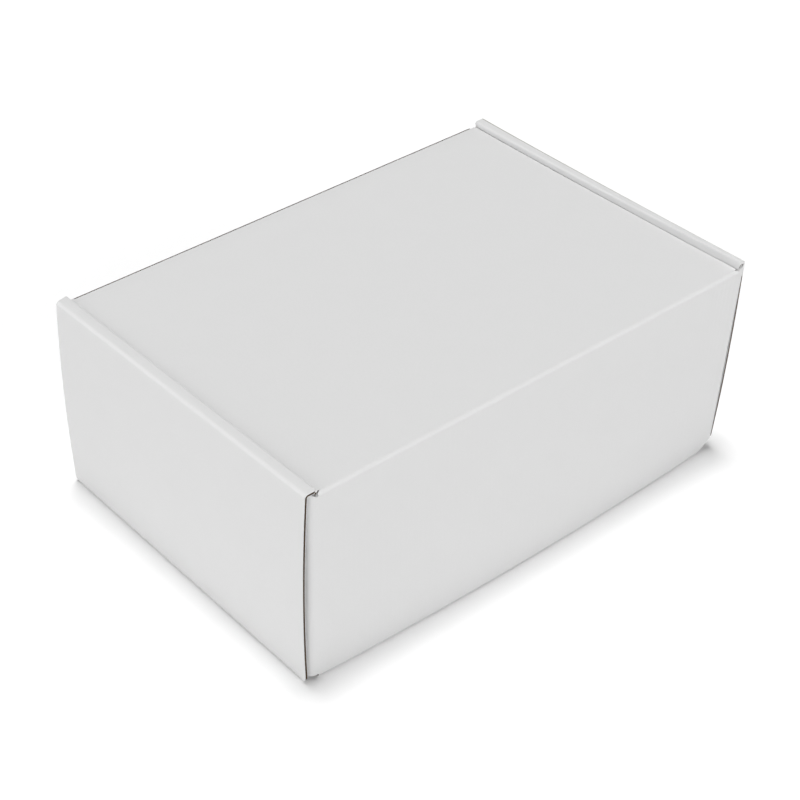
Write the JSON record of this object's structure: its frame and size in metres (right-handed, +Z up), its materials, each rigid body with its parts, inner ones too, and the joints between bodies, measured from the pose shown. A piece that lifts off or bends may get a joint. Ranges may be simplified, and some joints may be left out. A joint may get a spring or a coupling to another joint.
{
  "type": "mailer box",
  "caption": "White corrugated mailer box with a hinged tuck-in lid between rolled double end walls.",
  "frame": {"origin": "middle of the underside, on the surface that the box stands on", "axes": "+X along the lid's crease and the long side, +Y towards the hinged back wall, +Z up; front wall at -Y"},
  "size_m": [0.303, 0.203, 0.1212],
  "materials": {
    "tray_board": "matte white lined corrugated board",
    "lid_board": "matte white lined corrugated board"
  },
  "bodies": {
    "tray": {"tray": "tray_board"},
    "lid": {"lid": "lid_board"}
  },
  "joints": [
    {"name": "lid_hinge", "type": "hinge", "parent": "tray", "child": "lid", "pos_m": [0, 0.10091, 0.11861], "axis": [-1, 0, 0], "range_deg": [0, 180]}
  ]
}
